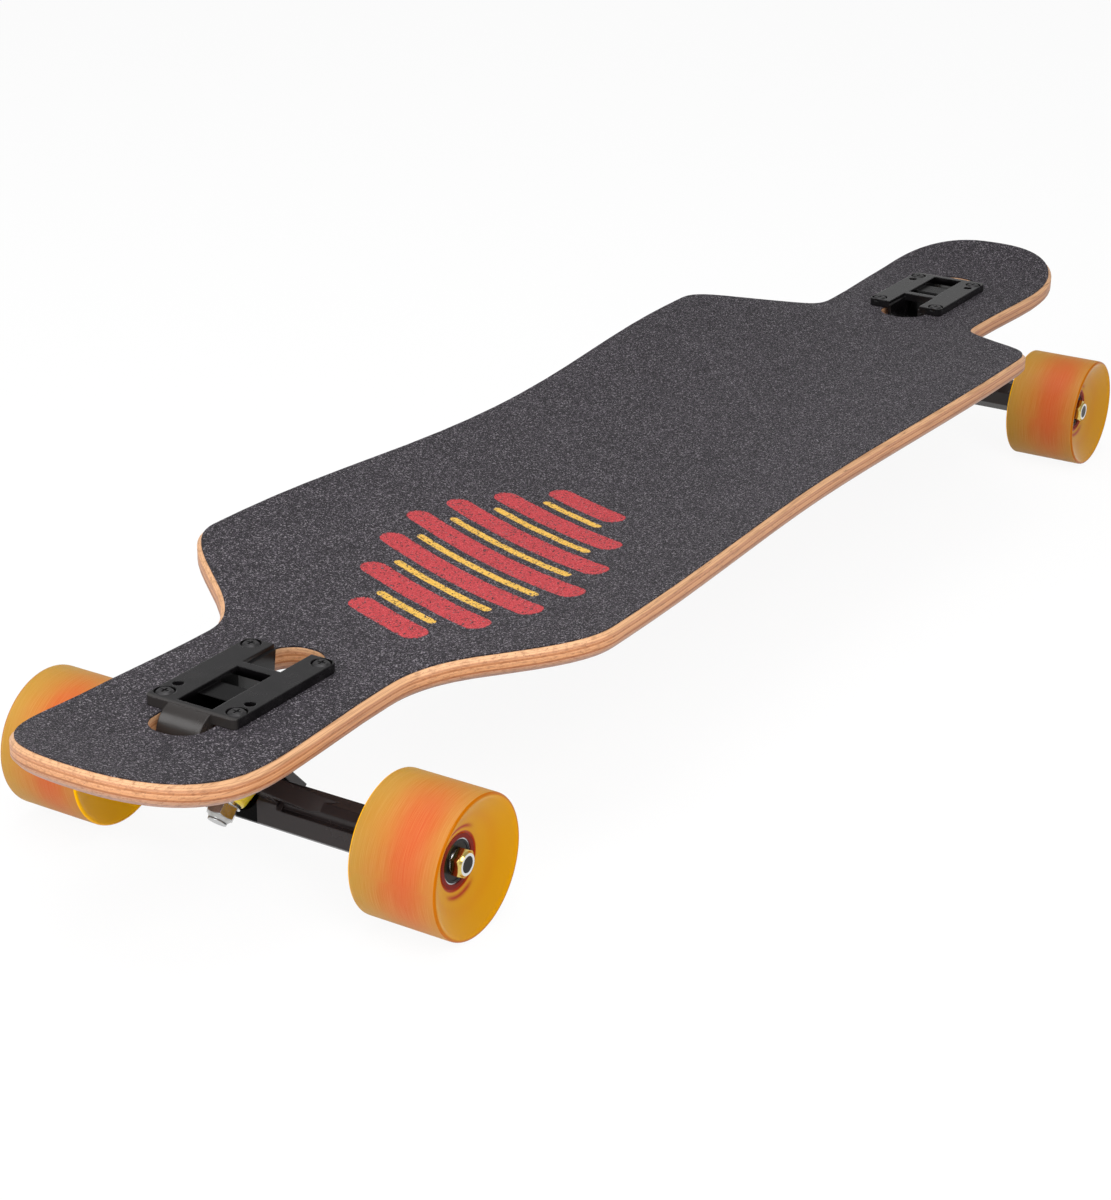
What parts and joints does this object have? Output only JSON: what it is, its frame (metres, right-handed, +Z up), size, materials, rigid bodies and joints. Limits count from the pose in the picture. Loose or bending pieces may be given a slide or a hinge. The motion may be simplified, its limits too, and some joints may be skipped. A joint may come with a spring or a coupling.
{
  "type": "longboard skateboard",
  "caption": "Drop-through longboard with an hourglass deck, grip top, lean-steered trucks that turn about slanted pivots, and free-rolling wheels on ball bearings.",
  "frame": {"origin": "on the floor, under the middle of the board", "axes": "+X to the nose, +Y to the board's left, +Z up"},
  "size_m": [1.008, 0.253, 0.1059],
  "materials": {
    "deck_wood": "clear satin lacquer over pressed plies",
    "grip": "coarse abrasive grit",
    "black_casting": "black satin paint on cast alloy",
    "black_steel": "black oxide",
    "zinc_steel": "bright zinc plate",
    "axle_steel": "plain turned steel",
    "bearing_steel": "polished",
    "spacer_alloy": "turned",
    "black_plastic": "moulded",
    "black_shield": "moulded rubber on a steel disc",
    "yellow_bushing": "clear yellow urethane",
    "amber_urethane": "clear amber urethane, ground tread",
    "red_core": "moulded"
  },
  "bodies": {
    "board": {"deck": "deck_wood", "grip_tape": "grip", "front_baseplate": "black_casting", "front_deck_bolts": "black_steel", "front_deck_nuts": "zinc_steel", "front_pivot_cup": "black_plastic", "front_kingpin": "zinc_steel", "front_kingpin_nut": "zinc_steel", "front_bushing_washers": "zinc_steel", "front_board_bushing": "yellow_bushing", "front_road_bushing": "yellow_bushing", "rear_baseplate": "black_casting", "rear_deck_bolts": "black_steel", "rear_deck_nuts": "zinc_steel", "rear_pivot_cup": "black_plastic", "rear_kingpin": "zinc_steel", "rear_kingpin_nut": "zinc_steel", "rear_bushing_washers": "zinc_steel", "rear_board_bushing": "yellow_bushing", "rear_road_bushing": "yellow_bushing"},
    "front_hanger": {"front_hanger": "black_casting", "front_axle": "axle_steel", "front_axle_nuts": "zinc_steel", "front_speed_rings": "zinc_steel", "front_left_bearing_inner_rings": "bearing_steel", "front_left_bearing_spacer": "spacer_alloy", "front_right_bearing_inner_rings": "bearing_steel", "front_right_bearing_spacer": "spacer_alloy"},
    "front_left_wheel": {"front_left_tyre": "amber_urethane", "front_left_core": "red_core", "front_left_bearing_outer_rings": "bearing_steel", "front_left_bearing_shields": "black_shield"},
    "front_left_ball_set": {"front_left_bearing_balls": "bearing_steel", "front_left_bearing_cages": "black_plastic"},
    "front_right_wheel": {"front_right_tyre": "amber_urethane", "front_right_core": "red_core", "front_right_bearing_outer_rings": "bearing_steel", "front_right_bearing_shields": "black_shield"},
    "front_right_ball_set": {"front_right_bearing_balls": "bearing_steel", "front_right_bearing_cages": "black_plastic"},
    "rear_hanger": {"rear_hanger": "black_casting", "rear_axle": "axle_steel", "rear_axle_nuts": "zinc_steel", "rear_speed_rings": "zinc_steel", "rear_left_bearing_inner_rings": "bearing_steel", "rear_left_bearing_spacer": "spacer_alloy", "rear_right_bearing_inner_rings": "bearing_steel", "rear_right_bearing_spacer": "spacer_alloy"},
    "rear_left_wheel": {"rear_left_tyre": "amber_urethane", "rear_left_core": "red_core", "rear_left_bearing_outer_rings": "bearing_steel", "rear_left_bearing_shields": "black_shield"},
    "rear_left_ball_set": {"rear_left_bearing_balls": "bearing_steel", "rear_left_bearing_cages": "black_plastic"},
    "rear_right_wheel": {"rear_right_tyre": "amber_urethane", "rear_right_core": "red_core", "rear_right_bearing_outer_rings": "bearing_steel", "rear_right_bearing_shields": "black_shield"},
    "rear_right_ball_set": {"rear_right_bearing_balls": "bearing_steel", "rear_right_bearing_cages": "black_plastic"}
  },
  "joints": [
    {"name": "front_steer", "type": "hinge", "parent": "board", "child": "front_hanger", "pos_m": [0.38463, 0, 0.05246], "axis": [0.6947, 0, 0.7193], "range_deg": [-14, 14], "stiffness_Nm_per_rad": 60, "deforming": ["front_board_bushing", "front_road_bushing"]},
    {"name": "front_left_spin", "type": "hinge", "parent": "front_hanger", "child": "front_left_wheel", "pos_m": [0.3768, 0.103, 0.035], "axis": [0, 1, 0], "continuous": true},
    {"name": "front_left_ball_roll", "type": "hinge", "parent": "front_hanger", "child": "front_left_ball_set", "pos_m": [0.3768, 0.103, 0.035], "axis": [0, 1, 0], "continuous": true},
    {"name": "front_right_spin", "type": "hinge", "parent": "front_hanger", "child": "front_right_wheel", "pos_m": [0.3768, -0.103, 0.035], "axis": [0, 1, 0], "continuous": true},
    {"name": "front_right_ball_roll", "type": "hinge", "parent": "front_hanger", "child": "front_right_ball_set", "pos_m": [0.3768, -0.103, 0.035], "axis": [0, 1, 0], "continuous": true},
    {"name": "rear_steer", "type": "hinge", "parent": "board", "child": "rear_hanger", "pos_m": [-0.38463, 0, 0.05246], "axis": [-0.6947, 0, 0.7193], "range_deg": [-14, 14], "stiffness_Nm_per_rad": 60, "deforming": ["rear_board_bushing", "rear_road_bushing"]},
    {"name": "rear_left_spin", "type": "hinge", "parent": "rear_hanger", "child": "rear_left_wheel", "pos_m": [-0.3768, 0.103, 0.035], "axis": [0, 1, 0], "continuous": true},
    {"name": "rear_left_ball_roll", "type": "hinge", "parent": "rear_hanger", "child": "rear_left_ball_set", "pos_m": [-0.3768, 0.103, 0.035], "axis": [0, 1, 0], "continuous": true},
    {"name": "rear_right_spin", "type": "hinge", "parent": "rear_hanger", "child": "rear_right_wheel", "pos_m": [-0.3768, -0.103, 0.035], "axis": [0, 1, 0], "continuous": true},
    {"name": "rear_right_ball_roll", "type": "hinge", "parent": "rear_hanger", "child": "rear_right_ball_set", "pos_m": [-0.3768, -0.103, 0.035], "axis": [0, 1, 0], "continuous": true}
  ],
  "couplings": [
    {"joint": "front_left_ball_roll", "follows": "front_left_spin", "ratio": 0.63139},
    {"joint": "front_right_ball_roll", "follows": "front_right_spin", "ratio": 0.63139},
    {"joint": "rear_left_ball_roll", "follows": "rear_left_spin", "ratio": 0.63139},
    {"joint": "rear_right_ball_roll", "follows": "rear_right_spin", "ratio": 0.63139}
  ]
}
